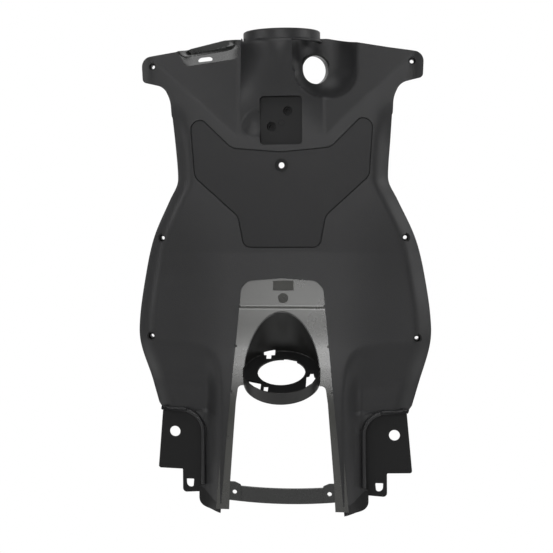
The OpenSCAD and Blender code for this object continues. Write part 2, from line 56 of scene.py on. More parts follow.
# %% Main sizes in millimetres
WALL = 2.6
SEAT_Y = 2.8
EAR_HALF_W = 183.0
WAIST_HALF_W = 137.6
HIP_HALF_W = 191.65
FOOT_HALF_W = 164.9
TOP_Z = 168.0
EAR_TOP_Z = 143.0
EAR_LOW_Z = 111.0
NECK_Z = 62.0
WAIST_Z = -12.0
HIP_Z = -212.0
FOOT_Z = -321.0
LEG_END_Z = -447.0
LEG_IN = 74.0
LEG_OUT = 107.0
COLUMN_HALF_W = 54.0
COLLAR_R = 50.7
COLLAR_LOW_Z = TOP_Z - 5.5
EDGE_WRAP = 13.0
LEG_SWEEP = 38.0
FOOTWELL = 24.0
SHOULDER_SLOPE = 0.24
print("half widths from ears to feet:", EAR_HALF_W, WAIST_HALF_W, HIP_HALF_W, FOOT_HALF_W)


# %% [markdown]
# ## Curves through a few keys
#
# A moulded panel is drawn with smooth guide curves. Each curve here goes through a short list of
# keys, a place and a value, and `smooth` blends one form into the next without a corner.

# %% Curve helpers
def smooth(a, b, x):
    """Goes from 0 at a to 1 at b, level at both ends."""
    t = min(max((x - a) / (b - a), 0.0), 1.0)
    return t * t * (3 - 2 * t)


def key_slope(keys, i):
    """Slope of the curve at a key, from the keys on both sides."""
    a = keys[max(i - 1, 0)]
    b = keys[min(i + 1, len(keys) - 1)]
    return (b[1] - a[1]) / (b[0] - a[0])


def curve(keys, x):
    """Smooth curve through keys of the form (place, value), places rising."""
    i = 0
    while i < len(keys) - 2 and x > keys[i + 1][0]:
        i += 1
    a, b = keys[i], keys[i + 1]
    h = b[0] - a[0]
    t = min(max((x - a[0]) / h, 0.0), 1.0)
    s = 1 - t
    value = s * s * (1 + 2 * t) * a[1] + t * t * (3 - 2 * t) * b[1]
    return value + t * s * h * (s * key_slope(keys, i) - t * key_slope(keys, i + 1))


WING_KEYS = [
    (FOOT_Z, FOOT_HALF_W),
    (HIP_Z - 35, HIP_HALF_W - 4.8),
    (HIP_Z, HIP_HALF_W),
    (HIP_Z + 63, HIP_HALF_W - 7),
    (WAIST_Z - 85, (WAIST_HALF_W + HIP_HALF_W) / 2 + 8),
    (WAIST_Z - 33, WAIST_HALF_W + 11.5),
    (WAIST_Z - 13, WAIST_HALF_W + 1.5),
    (WAIST_Z, WAIST_HALF_W),
    (WAIST_Z + 45, WAIST_HALF_W + 3.2),
    (NECK_Z, WAIST_HALF_W + 5),
]
SWEEP_KEYS = [
    (LEG_END_Z - 8, LEG_SWEEP),
    (-350.0, 0.87 * LEG_SWEEP),
    (-300.0, 0.74 * LEG_SWEEP),
    (-262.0, 0.56 * LEG_SWEEP),
    (-232.0, 0.37 * LEG_SWEEP),
    (-191.0, 0.21 * LEG_SWEEP),
    (-150.0, 0.08 * LEG_SWEEP),
    (-113.5, 0.0),
]
FOOT_CREASE_KEYS = [(70, -330), (75, -268), (82, -247), (92, -236), (110, -230), (190, -225)]
print("half width between waist and hips:", round(curve(WING_KEYS, (WAIST_Z + HIP_Z) / 2), 1))


# %% [markdown]
# ## The outer face as one smooth surface
#
# On the real mould this is one milled surface. Here it is a height for every place across and
# up: a flat middle, shoulders that lean back above two V creases, a column that bulges up to the
# steering collar, wings that wrap back at their edges, and a lower part that sweeps towards the
# rider and leaves a hollow for each foot. The bowls are spheres that press into it, with a
# rounded rim, because a smooth maximum of two heights rounds the edge where they meet.

# %% Height of the outer face
def sheet_half_w(z):
    """Half width of the sheet before it is trimmed, at a height."""
    if z > NECK_Z:
        return WAIST_HALF_W + 5 + (EAR_HALF_W + 1 - WAIST_HALF_W) * smooth(NECK_Z, EAR_LOW_Z - 4, z)
    if z > FOOT_Z:
        return curve(WING_KEYS, z)
    return FOOT_HALF_W + (LEG_OUT + 8 - FOOT_HALF_W) * smooth(FOOT_Z - 4, FOOT_Z - 26, z)


def sweep(z):
    """How far the lower part comes towards the rider, as a negative place."""
    return -curve(SWEEP_KEYS, max(z, LEG_END_Z - 8)) if z < -113.5 else 0.0


def shoulder(x, z):
    """How far the shoulder leans back above its V crease, with the crease rounded."""
    d = z - (33 + 0.93 * max(0.0, abs(x) - COLUMN_HALF_W - 4))
    if d > 12:
        return SHOULDER_SLOPE * (d - 6)
    return SHOULDER_SLOPE * d * d / 24 if d > 0 else 0.0


def wing_wrap(x, z):
    """How far the wings and ears curl back towards their edges."""
    if z < FOOT_Z:
        return 0.0
    w = sheet_half_w(min(z, NECK_Z))
    low = EDGE_WRAP * smooth(w - 26, w + 4, abs(x)) ** 1.5
    high = 0.5 * EDGE_WRAP * smooth(EAR_HALF_W - 20, EAR_HALF_W + 10, abs(x)) ** 1.5
    edge = low + (high - low) * smooth(NECK_Z - 40, NECK_Z + 24, z)
    return edge + 10 * smooth(-40, -150, z) * smooth(70, 190, abs(x))


def footwell(x, z):
    """Depth of the hollow for a foot, below its crease and outside the leg."""
    crease = curve(FOOT_CREASE_KEYS, min(max(abs(x), 70), 190))
    return FOOTWELL * smooth(0, 62, crease - z) * smooth(LEG_IN + 2, LEG_OUT - 4, abs(x))


COLLAR_Y = shoulder(COLUMN_HALF_W, TOP_Z)


def round_max(a, b, radius):
    """The larger of two heights, with the corner between them rounded."""
    h = max(radius - abs(a - b), 0.0) / radius
    return max(a, b) + h * h * radius / 4


def base_y(x, z):
    """The outer face without the bowl and the finger scoop."""
    side = shoulder(x, z) + wing_wrap(x, z)
    if abs(x) < COLUMN_HALF_W and z > 33:
        side = shoulder(COLUMN_HALF_W, z)
        front = (COLLAR_Y - COLUMN_HALF_W) * smooth(76, TOP_Z - 10, z)
        over = min(max(z - (COLLAR_LOW_Z - 4), 0.0), 3.9) / 4
        edge = 4 * (1 - math.sqrt(1 - over ** 2))
        power = 1.0 - 0.5 * smooth(136, TOP_Z - 4, z)
        return side + (front + edge - side) * (1 - (x / COLUMN_HALF_W) ** 2) ** power
    return side + sweep(z) + footwell(x, z)


def ball_y(x, z, centre, radius):
    """The far side of a ball, or a place far in front where it isn't met."""
    flat = radius ** 2 - (x - centre[0]) ** 2 - (z - centre[2]) ** 2
    return centre[1] + math.sqrt(flat) if flat > 0 else -999.0


BOWL_R = 42.0
BOWL = (61.0, -8.0, 125.0)
FINGER_R = 26.0
FINGER = (-34.0, -17.0, 55.5)
RIM_ROUND = 2.5


def face_y(x, z):
    """Place of the outer face behind the plane of the cover, in millimetres."""
    y = base_y(x, z)
    lift = max(0.0, z - BOWL[2])
    bowl = ball_y(x, z - lift, (BOWL[0], BOWL[1] + SHOULDER_SLOPE * lift, BOWL[2]), BOWL_R)
    y = round_max(y, bowl, RIM_ROUND)
    return round_max(y, ball_y(x, z, FINGER, FINGER_R), RIM_ROUND)


print("the bowl is deepest at", round(face_y(BOWL[0], BOWL[2]), 1), "mm")


# %% [markdown]
# ## Outlines with rounded corners
#
# Openings and plates are drawn as a maker draws them: corner points with a radius. `rounded`
# puts an arc in each corner, and `grown` moves the whole outline out or in.

# %% Outline helpers
def rounded(path):
    """Points of an outline whose corners are (x, z, radius)."""
    points = []
    for k, (x, z, r) in enumerate(path):
        here = Vector((x, z))
        a = (Vector(path[k - 1][:2]) - here).normalized()
        b = (Vector(path[(k + 1) % len(path)][:2]) - here).normalized()
        half = math.acos(max(-1.0, min(1.0, a.dot(b)))) / 2
        if r <= 0 or half > math.radians(89.5):
            points.append(here)
            continue
        centre = here + (a + b).normalized() * r / math.sin(half)
        start = here + a * r / math.tan(half) - centre
        end = here + b * r / math.tan(half) - centre
        steps = max(3, math.ceil(2.5 * math.sqrt(r)))
        for i in range(steps + 1):
            points.append(centre + start.lerp(end, i / steps).normalized() * r)
    return points


def grown(path, by):
    """The same outline moved out by a distance; corners keep their centres."""
    moved = []
    for k, (x, z, r) in enumerate(path):
        here = Vector((x, z))
        a = (here - Vector(path[k - 1][:2])).normalized()
        b = (Vector(path[(k + 1) % len(path)][:2]) - here).normalized()
        na, nb = Vector((a.y, -a.x)), Vector((b.y, -b.x))
        q = here + (na + nb) * by / (1 + na.dot(nb))
        turn = 1 if a.x * b.y - a.y * b.x > 0 else -1
        moved.append((q.x, q.y, max(0.4, r + by * turn)))
    return moved


def mirrored(path):
    """The same outline on the other side, with its points in the same turning sense."""
    return [(-x, z, r) for x, z, r in reversed(path)]


sample = rounded([(0, 0, 2), (9, 0, 2), (9, 9, 2), (0, 9, 2)])
print("a square with round corners has", len(sample), "points")

# %% [markdown]
# ## Acting on one object at a time
#
# An operator works on all that is selected, so each helper clears the selection first. A finished
# piece keeps its place in its mesh, which leaves the object itself at the origin. `prism` fills an
# outline and extrudes it along Y, for a plate or for a cutter.

# %% Object helpers
def deselect():
    """Leaves edit mode and selects nothing."""
    if bpy.context.object and bpy.context.object.mode != "OBJECT":
        bpy.ops.object.mode_set(mode="OBJECT")
    bpy.ops.object.select_all(action="DESELECT")


def pick(obj):
    """Makes one object the selected and active one."""
    deselect()
    obj.select_set(True)
    bpy.context.view_layer.objects.active = obj
    return obj


def apply_all(obj):
    """Applies every modifier of an object, in order."""
    pick(obj)
    for mod in list(obj.modifiers):
        bpy.ops.object.modifier_apply(modifier=mod.name)
    return obj


def place_in_mesh(obj):
    """Moves an object's place and turn into its mesh, so that it sits at the origin."""
    pick(obj)
    bpy.ops.object.transform_apply(location=True, rotation=True, scale=True)
    return obj


def flat_piece(name, places, fill="NGON"):
    """A flat piece with its corners at given places, in millimetres."""
    deselect()
    bpy.ops.mesh.primitive_circle_add(vertices=len(places), radius=1.0, fill_type=fill)
    obj = bpy.context.object
    obj.name = name
    for vertex, place in zip(obj.data.vertices, places):
        vertex.co = [c * MM for c in place]
    return obj


def extrude(obj, shift):
    """Extrudes a whole flat piece by a shift in millimetres, with its faces pointing outwards."""
    bpy.ops.object.mode_set(mode="EDIT")
    bpy.ops.mesh.select_all(action="SELECT")
    bpy.ops.mesh.extrude_region_move(TRANSFORM_OT_translate={"value": [c * MM for c in shift]})
    bpy.ops.mesh.select_all(action="SELECT")
    bpy.ops.mesh.normals_make_consistent(inside=False)
    bpy.ops.object.mode_set(mode="OBJECT")
    return obj


def prism(name, points, y0, y1):
    """An outline in the XZ plane, filled and extruded from y0 to y1 (millimetres)."""
    flat = flat_piece(name, [(p[0], y0 - SEAT_Y, p[1]) for p in points])
    return extrude(flat, (0, y1 - y0, 0))


def give_wall(obj, thickness):
    """Thickens a sheet away from its outer face."""
    mod = obj.modifiers.new("wall", "SOLIDIFY")
    mod.thickness = thickness * MM
    mod.offset = -1.0
    return apply_all(obj)


def report(*pieces):
    """Prints how many faces each piece has."""
    for piece in pieces:
        print(piece.name, "has", len(piece.data.polygons), "faces")


# %% [markdown]
# ## The moulded sheet
#
# A grid is added at the size of the panel, and each of its points is moved to the outer face.
# The columns follow the edges of the wings, so the rolled edge stays smooth, and one line of
# points lies on the valley beside the column. Solidify then gives the sheet its wall.

# %% Grid of the outer face
COLUMNS = 156
ROWS = 256
INNER_COLUMNS = 26


def place_across(t, half_w):
    """Place across for t from -1 to 1, with a column of points at the valley."""
    inner = 2 * INNER_COLUMNS / COLUMNS
    a = abs(t)
    if a < inner:
        x = COLUMN_HALF_W * math.sin(math.pi / 2 * a / inner)
    else:
        x = COLUMN_HALF_W + (half_w - COLUMN_HALF_W) * (a - inner) / (1 - inner)
    return math.copysign(x, t)


deselect()
bpy.ops.mesh.primitive_grid_add(x_subdivisions=COLUMNS, y_subdivisions=ROWS, size=2.0)
panel = bpy.context.object
panel.name = "panel"
top, bottom = TOP_Z + 6, LEG_END_Z - 4
for vertex in panel.data.vertices:
    z = bottom + (top - bottom) * (vertex.co.y + 1) / 2
    x = place_across(vertex.co.x, sheet_half_w(z))
    vertex.co = (x * MM, (face_y(x, z) - SEAT_Y) * MM, z * MM)
give_wall(panel, WALL)
report(panel)

# %% [markdown]
# ## Cutting the panel to its outline
#
# The moulding is trimmed along its top edge, round the ears and round the lower corners, and it
# is open where the cover, the hook recess, the pocket and the space between the legs are. Each
# opening is a closed solid that a Boolean modifier takes away, so every edge shows the true wall.

# %% Outlines of the panel and its openings
COVER_LOW_Z = -107.5
COVER_TOP_Z = 60.5
COVER_HALF_W = 118.5
HOOK_W, HOOK_H, HOOK_DEPTH = 55.0, 63.0, 9.0
HOOK_Z = 27 + HOOK_H / 2
FAR = 400.0
BOWL_EDGE = 19.5
neck_w = WAIST_HALF_W + 5

trim_right = [
    (LEG_IN + 4, LEG_END_Z + 0.5, 3),
    (LEG_OUT + 3, LEG_END_Z + 0.5, 13),
    (LEG_OUT + 3, LEG_END_Z + 28, 2),
    (LEG_OUT - 2, LEG_END_Z + 30, 2),
    (LEG_OUT - 1, FOOT_Z - 2, 26),
    (FOOT_HALF_W - 3, FOOT_Z, 4),
    (FOOT_HALF_W + 3, FOOT_Z + 8, 1),
    (FAR, FOOT_Z + 8, 0),
    (FAR, NECK_Z - 12, 0),
    (neck_w + 0.5, NECK_Z - 12, 0),
    (neck_w + 2, EAR_LOW_Z - 25, 40),
    (neck_w + 10.5, EAR_LOW_Z - 7, 18),
    (EAR_HALF_W - 1, EAR_LOW_Z, 6),
    (EAR_HALF_W + 0.5, EAR_TOP_Z - 1, 13),
    (EAR_HALF_W - 44, EAR_TOP_Z + 7.5, 60),
    (COLUMN_HALF_W + 6, TOP_Z - 0.5, 30),
]
collar_step = [(COLUMN_HALF_W - 2.5, TOP_Z - 1, 0), (COLUMN_HALF_W - 2.5, COLLAR_LOW_Z, 0)]
bowl_step = [(BOWL_EDGE, TOP_Z - 1, 0), (BOWL_EDGE, COLLAR_LOW_Z, 0)]
trim_path = trim_right + bowl_step + mirrored(collar_step) + mirrored(trim_right)
gap_right = [
    (LEG_IN + 6, LEG_END_Z - 10, 0),
    (LEG_IN - 3, -348, 0),
    (53.5, -160, 9),
    (44, -150, 12),
]
gap_path = gap_right + [(0, -146.5, 0)] + mirrored(gap_right)
cover_right = [
    (50, COVER_LOW_Z, 12),
    (57.5, COVER_LOW_Z + 41, 14),
    (COVER_HALF_W - 4.5, -15, 16),
    (COVER_HALF_W + 1, COVER_TOP_Z, 13),
    (COVER_HALF_W - 17, COVER_TOP_Z, 7),
    (64, 23.5, 16),
]
cover_path = cover_right + [(0, 18, 60)] + mirrored(cover_right)
hook_path = [
    (HOOK_W / 2, HOOK_Z - HOOK_H / 2, 5),
    (HOOK_W / 2, HOOK_Z + HOOK_H / 2, 5),
    (-HOOK_W / 2, HOOK_Z + HOOK_H / 2, 5),
    (-HOOK_W / 2, HOOK_Z - HOOK_H / 2, 5),
]
POCKET_CORNER = (-125, TOP_Z - 37)
pocket_path = [
    (-COLUMN_HALF_W - 3, 190, 0),
    (-144, 190, 0),
    (-144, TOP_Z - 2, 0),
    (*POCKET_CORNER, 4),
    (-COLUMN_HALF_W - 4, TOP_Z - 26, 5),
]
SCREWS = [(168.0, 131.0), (158.8, -94.7), (172.5, -223.7)]
SCREW_R = 2.6
HEAD_R = 4.6
HEAD_DEPTH = 3.0
print("the trimmed outline has", len(trim_path), "corners")


# %% Cut with closed solids
def drill(name, x, z, radius, y0, y1, sides=48):
    """A round cutter along Y."""
    deselect()
    bpy.ops.mesh.primitive_cylinder_add(
        vertices=sides, radius=radius * MM, depth=(y1 - y0) * MM,
        location=(x * MM, ((y0 + y1) / 2 - SEAT_Y) * MM, z * MM), rotation=(math.pi / 2, 0, 0))
    obj = bpy.context.object
    obj.name = name
    return place_in_mesh(obj)


def combine(objects, name):
    """Several closed solids that don't touch, as one object."""
    deselect()
    for obj in objects:
        obj.select_set(True)
    bpy.context.view_layer.objects.active = objects[0]
    if len(objects) > 1:
        bpy.ops.object.join()
    objects[0].name = name
    return objects[0]


def cut(target, cutter, operation="DIFFERENCE"):
    """Takes the cutter away from the target, and removes the cutter."""
    mod = target.modifiers.new("cut", "BOOLEAN")
    mod.operation = operation
    mod.solver = "EXACT"
    mod.object = cutter
    apply_all(target)
    bpy.data.objects.remove(cutter)
    return target


cut(panel, prism("outline", rounded(trim_path), -140, 140), "INTERSECT")
openings = [
    prism("gap", rounded(gap_path), -120, 60),
    prism("cover", rounded(cover_path), -20, 20),
    prism("hook", rounded(hook_path), -60, 20),
    prism("pocket", rounded(pocket_path), -80, 80),
]
cut(panel, combine(openings, "openings"))
holes = []
for x, z in SCREWS:
    for side in (-1, 1):
        y = face_y(side * x, z)
        holes.append(drill("screw", side * x, z, SCREW_R, y - 20, y + 20))
cut(panel, combine(holes, "holes"))
heads = []
for x, z in SCREWS:
    for side in (-1, 1):
        y = face_y(side * x, z)
        heads.append(drill("head", side * x, z, HEAD_R, y - 20, y + HEAD_DEPTH))
cut(panel, combine(heads, "heads"))
report(panel)

# %% [markdown]
# ## The hole for the ignition lock
#
# The lock comes through the left side of the bowl, turned towards the column, so its hole is
# drilled along a tilted axis. A short tube behind it holds the lock, and a notch in the rim shows
# which way round it goes in.

# %% Lock hole
LOCK_TURN = math.radians(25)
LOCK_R = 18.5


def tilted_cylinder(name, centre, direction, radius, length, sides=96):
    """A round cutter or bar that starts at a point and runs along a direction."""
    direction = Vector(direction).normalized()
    deselect()
    bpy.ops.mesh.primitive_cylinder_add(vertices=sides, radius=radius * MM, depth=length * MM)
    obj = bpy.context.object
    obj.name = name
    middle = Vector(centre) + direction * length / 2
    obj.location = Vector((middle.x, middle.y - SEAT_Y, middle.z)) * MM
    obj.rotation_euler = direction.to_track_quat("Z", "Y").to_euler()
    return place_in_mesh(obj)


lock_axis = (-math.sin(LOCK_TURN), math.cos(LOCK_TURN), 0)
lock_start = Vector(BOWL) + Vector(lock_axis) * BOWL_R / 2
cut(panel, tilted_cylinder("lock_hole", lock_start, lock_axis, LOCK_R, 60))
tube_start = Vector(BOWL) + Vector(lock_axis) * (BOWL_R - 3)
barrel = tilted_cylinder("lock_barrel_seat", tube_start, lock_axis, LOCK_R + WALL, 10)
cut(barrel, tilted_cylinder("barrel_bore", Vector(BOWL), lock_axis, LOCK_R, 90))
notch = Vector(BOWL) + Vector(lock_axis) * (BOWL_R - 6) + Vector((14.5, 0, 13.5))
cut(panel, tilted_cylinder("key_notch", notch, lock_axis, 4.0, 20, 32))
report(panel, barrel)


# %% [markdown]
# ## Trays behind the openings
#
# A recess is a tray moulded to the back of the panel. `behind_face` makes a block whose front lies
# in the middle of the wall, so a tray that is intersected with it ends inside the plastic, and
# never shows through the outer face.

# %% Helpers for trays
def behind_face(name, x0, x1, z0, z1, deep=110.0, steps=24, at=0.6):
    """A block whose front follows the outer face, a part of the wall behind it."""
    deselect()
    bpy.ops.mesh.primitive_grid_add(x_subdivisions=steps, y_subdivisions=steps, size=2.0)
    obj = bpy.context.object
    obj.name = name
    for vertex in obj.data.vertices:
        x = x0 + (x1 - x0) * (vertex.co.x + 1) / 2
        z = z0 + (z1 - z0) * (vertex.co.y + 1) / 2
        vertex.co = (x * MM, (base_y(x, z) + at * WALL - SEAT_Y) * MM, z * MM)
    return extrude(obj, (0, deep, 0))


def soften(obj, width, segments=2, angle=35):
    """Rounds the sharp edges of a piece, as a moulding has them."""
    mod = obj.modifiers.new("edges", "BEVEL")
    mod.width = width * MM
    mod.segments = segments
    mod.limit_method = "ANGLE"
    mod.angle_limit = math.radians(angle)
    mod.harden_normals = False
    return apply_all(obj)


# %% [markdown]
# ## The step at the ends of the legs
#
# The floor panel laps over the last few millimetres of each leg, so the moulding steps back there
# by half its wall. A block that follows the outer face takes the step away in one cut.

# %% Leg ends
STEP_DEPTH = 1.3
leg_end = [
    (LEG_IN - 8, LEG_END_Z + 12, 0),
    (LEG_IN - 8, LEG_END_Z - 6, 0),
    (LEG_OUT + 12, LEG_END_Z - 6, 0),
    (LEG_OUT + 12, LEG_END_Z + 29, 0),
    (LEG_OUT - 2, LEG_END_Z + 27, 4),
    (LEG_OUT - 9, LEG_END_Z + 20, 10),
    (LEG_IN + 14, LEG_END_Z + 14, 10),
]
steps = []
for path, s in ((leg_end, 1), (mirrored(leg_end), -1)):
    x0, x1 = sorted((s * (LEG_IN - 9), s * (LEG_OUT + 13)))
    step = behind_face("leg_step", x0, x1, LEG_END_Z - 8, LEG_END_Z + 34, -110,
                       at=STEP_DEPTH / WALL)
    cut(step, prism("leg_step_outline", rounded(path)[::-1], -160, 60), "INTERSECT")
    steps.append(step)
cut(panel, combine(steps, "leg_steps"))
report(panel)

# %% [markdown]
# ## The recess of the bag hook
#
# The hook screws into a square tray with two blind holes, each in a sleeve behind it. A ball cuts
# the tray's side open, where a finger reaches behind the hook.

# %% Hook recess
HOOK_SCREWS = [(-12.9, 50.8), (8.5, 70.9)]
MARK = (-0.5, 55.4)
hook_tray = prism("hook_tray", rounded(grown(hook_path, WALL)), -40, HOOK_DEPTH + WALL)
cut(hook_tray, behind_face("hook_front", -34, 34, HOOK_Z - 37, HOOK_Z + 38), "INTERSECT")
cut(hook_tray, prism("hook_space", rounded(hook_path), -60, HOOK_DEPTH))
deselect()
bpy.ops.mesh.primitive_uv_sphere_add(
    segments=96, ring_count=48, radius=FINGER_R * MM,
    location=(FINGER[0] * MM, (FINGER[1] - SEAT_Y) * MM, FINGER[2] * MM))
cut(hook_tray, place_in_mesh(bpy.context.object))
hook_holes = [drill("hook_hole", x, z, 5.8, 0, 40) for x, z in HOOK_SCREWS]
cut(hook_tray, combine(hook_holes, "hook_holes"))
soften(hook_tray, 0.5)
hook_sleeves = []
for x, z in HOOK_SCREWS:
    sleeve = drill("hook_sleeve", x, z, 6.6, HOOK_DEPTH - 0.6, HOOK_DEPTH + 14, 40)
    cut(sleeve, drill("sleeve_seat", x, z, 5.6, 0, HOOK_DEPTH + 7))
    cut(sleeve, drill("sleeve_bore", x, z, 3.2, 0, HOOK_DEPTH + 12.5))
    hook_sleeves.append(soften(sleeve, 0.3))
mark = drill("hook_mark", *MARK, 4.6, HOOK_DEPTH - 0.5, HOOK_DEPTH + 1, 40)
cut(mark, drill("mark_dimple", *MARK, 3.2, 0, HOOK_DEPTH - 0.1, 32))
hook_sleeves.append(soften(mark, 0.25))
report(hook_tray, *hook_sleeves)

# %% [markdown]
# ## The pocket at the upper left
#
# The pocket is open at the top edge of the panel. It is a second sheet with its own height for
# every place: a sloping floor with a drain slot, a steep back, and a wall on the left.

# %% Pocket
POCKET_Y = 39.0


def beyond(x, z, a, b):
    """How far a place lies to the left of the line from a to b."""
    dx, dz = b[0] - a[0], b[1] - a[1]
    return (dx * (z - a[1]) - dz * (x - a[0])) / math.hypot(dx, dz)


def pocket_face(x, z):
    """A scoop with a gently sloping floor, then a steep rise to a back wall that leans forward."""
    start = base_y(x, z) + 0.35
    from_lip = beyond(x, z, POCKET_CORNER, (-58, TOP_Z - 26))
    from_wall = beyond(x, z, (-144, TOP_Z - 2), POCKET_CORNER)
    floor_y = start + 0.22 * min(max(from_lip, 0), 15)
    back_y = POCKET_Y - 0.25 * (z - 145)
    deep = floor_y + (back_y - floor_y) * smooth(13, 20, from_lip)
    return start + (deep - start) * smooth(0, 13, from_wall) * smooth(-57, -76, x)


deselect()
bpy.ops.mesh.primitive_grid_add(x_subdivisions=84, y_subdivisions=60, size=2.0)
pocket_tray = bpy.context.object
pocket_tray.name = "pocket_tray"
for vertex in pocket_tray.data.vertices:
    x = -101 + 48 * vertex.co.x
    z = 150 + 26 * vertex.co.y
    vertex.co = (x * MM, (pocket_face(x, z) - SEAT_Y) * MM, z * MM)
give_wall(pocket_tray, 0.8 * WALL)
pocket_outline = [(-56, 167.6, 0), (-76, 167.3, 0), (-122, 157.4, 0), (-138, 150.8, 0),
                  (-125.9, 129.6, 4), (-57, 140.9, 5)]
cut(pocket_tray, prism("pocket_outline", rounded(pocket_outline), -100, 100), "INTERSECT")
pocket_slot = [(-112, 136.5, 2), (-88, 139.5, 2), (-94, 144.5, 5), (-107, 143, 5)]
cut(pocket_tray, prism("slot", rounded(pocket_slot), 0, 80))
soften(pocket_tray, 0.4)
report(pocket_tray)

# %% [markdown]
# ## The service cover and its seat
#
# The cover is a flat lid that lies flush in the panel on a narrow seat. Between the two runs a
# groove of one and a half millimetres, which shows as a thin dark line. A bridge across the seat
# carries the boss of its only screw.

# %% Service cover
GROOVE = 1.5
cover = prism("cover_lid", rounded(grown(cover_path, -GROOVE)), 0, WALL)
cut(cover, drill("cover_hole", 0, 0, 5.5, -10, 20, 64))
cut(cover, drill("cover_head", 0, 0, 8.8, -10, 1.1, 64))
soften(cover, 0.5)
seat = prism("cover_seat", rounded(grown(cover_path, 4)), 0.7 * WALL, SEAT_Y + WALL)
cut(seat, prism("seat_space", rounded(cover_path), -5, SEAT_Y))
cut(seat, prism("seat_opening", rounded(grown(cover_path, -7)), -10, 40))
bridge = prism("seat_bridge", [(-15, -12), (15, -12), (15, 26), (-15, 26)],
               SEAT_Y + 0.1, SEAT_Y + WALL)
cut(bridge, drill("bridge_hole", 0, 0, 4.0, -10, 60))
boss = drill("centre_boss", 0, 0, 9.0, SEAT_Y + 0.5, SEAT_Y + 12)
cut(boss, drill("boss_hole", 0, 0, 4.0, -10, 60))
report(cover, seat, bridge, boss)

# %% [markdown]
# ## The half ring round the steering column
#
# The steering tube runs behind it. Its profile is drawn once and turned through half a circle,
# which gives an even ring with closed ends.

# %% Collar
def revolve(name, profile, angle=2 * math.pi, start=0.0, steps=128):
    """Turns a closed profile of (radius, height) points round the Z axis."""
    places = [(r * math.cos(start), r * math.sin(start), h) for r, h in profile]
    obj = flat_piece(name, places, "NOTHING")
    whole = angle > 6.28
    bpy.ops.object.mode_set(mode="EDIT")
    bpy.ops.mesh.select_all(action="SELECT")
    if not whole:
        bpy.ops.mesh.edge_face_add()
    bpy.ops.mesh.spin(steps=steps, angle=angle, center=(0, 0, 0), axis=(0, 0, 1))
    bpy.ops.mesh.select_all(action="SELECT")
    bpy.ops.mesh.remove_doubles(threshold=1e-6)
    bpy.ops.mesh.normals_make_consistent(inside=False)
    bpy.ops.object.mode_set(mode="OBJECT")
    return obj


def put(obj, place, turn=(0, 0, 0)):
    """Puts a piece at a place in millimetres, turned, and keeps both in its mesh."""
    obj.location = Vector((place[0], place[1] - SEAT_Y, place[2])) * MM
    obj.rotation_euler = turn
    return place_in_mesh(obj)


ROOF_R = COLUMN_HALF_W - 0.5 * WALL
COLLAR_IN = COLLAR_R - 3.4
COLLAR_H = 13
collar = revolve("collar", [
    (COLLAR_IN, COLLAR_LOW_Z - 2.6),
    (ROOF_R, COLLAR_LOW_Z - 2.6),
    (ROOF_R, COLLAR_LOW_Z - 0.3),
    (COLLAR_R, COLLAR_LOW_Z + 0.3),
    (COLLAR_R, COLLAR_LOW_Z + COLLAR_H - 1.4),
    (COLLAR_R - 1.4, COLLAR_LOW_Z + COLLAR_H),
    (COLLAR_IN, COLLAR_LOW_Z + COLLAR_H),
], math.pi, 0.0, 96)
put(collar, (0, COLLAR_Y, 0))
soften(collar, 0.6, 3)
report(collar)

# %% [markdown]
# ## The smooth plate and strips between the legs
#
# This part lies two millimetres behind the textured face, because the floor panel of the scooter
# covers it. It was moulded without grain, so it shines, and its colour is painted a lighter grey
# than the black moulding, a painted reflection of the bright room. It has a fold at its top, a bare
# inset, a round mark from the mould and a row of clip slots, and the hood of the filler cup cuts
# its arch out of it.

# %% Smooth plate
PLATE_BACK = 2.0
CUP_R = 49.6
CUP_TILT = math.radians(23)
CUP_Z = -264.6
CUP_Y = sweep(-189) - 16.7
CUP_AXIS = (0, -math.sin(CUP_TILT), math.cos(CUP_TILT))
CUP_CENTRE = (0, CUP_Y, CUP_Z)
HOOD_TILT = math.radians(26.5)
HOOD_AXIS = (0, -math.sin(HOOD_TILT), math.cos(HOOD_TILT))


def hood_cylinder(name, low, radius, length, sides):
    """A cylinder along the hood, from `low` mm along its axis from the middle of the cup."""
    base = Vector(CUP_CENTRE) + Vector(HOOD_AXIS) * low
    return tilted_cylinder(name, base, HOOD_AXIS, radius, length, sides)


deselect()
bpy.ops.mesh.primitive_grid_add(x_subdivisions=36, y_subdivisions=200, size=2.0)
plate = bpy.context.object
plate.name = "smooth_plate"
for vertex in plate.data.vertices:
    x = 90 * vertex.co.x
    z = -292 + 149 * vertex.co.y
    lift = 0.9 * smooth(-183, -186, z)
    vertex.co = (x * MM, (sweep(z) + PLATE_BACK - lift - SEAT_Y) * MM, z * MM)
give_wall(plate, WALL)
cut(plate, prism("plate_outline", rounded(grown(gap_path, 6)), -120, 60), "INTERSECT")
hollow = [(-59, -305, 4), (-66.5, LEG_END_Z + 40, 0), (-69, LEG_END_Z - 20, 0),
          (69, LEG_END_Z - 20, 0), (66.5, LEG_END_Z + 40, 0), (59, -305, 4), (56, -283, 6),
          (-56, -283, 6)]
cut(plate, prism("hollow", rounded(hollow), -120, 60))
cut(plate, hood_cylinder("cup_inside", -60, CUP_R - 0.2, 210, 192))
MARK_X, MARK_Z = 1.5, -172.5
label = [(-11.8, -163, 1), (15, -163, 1), (15, -150, 1), (-11.8, -150, 1)]
marks = [
    drill("round_mark", MARK_X, MARK_Z, 6.6, -60, sweep(MARK_Z) + PLATE_BACK + 1.3),
    prism("label_inset", rounded(label), -60, sweep(-156.5) + PLATE_BACK + 0.9),
]
cut(plate, combine(marks, "marks"))
soften(plate, 0.4)
CLIPS = [(54.9, -183), (59.6, -234), (64.4, -291), (68.6, -348)]
notches = []
for s in (-1, 1):
    for x, z in CLIPS:
        corners = [(s * x - 1.1, z - 1.6), (s * x + 1.1, z - 1.6),
                   (s * x + 1.1, z + 1.6), (s * x - 1.1, z + 1.6)]
        notches.append(prism("clip_notch", corners, -80, sweep(z) + PLATE_BACK + 0.9))
cut(plate, combine(notches, "notches"))
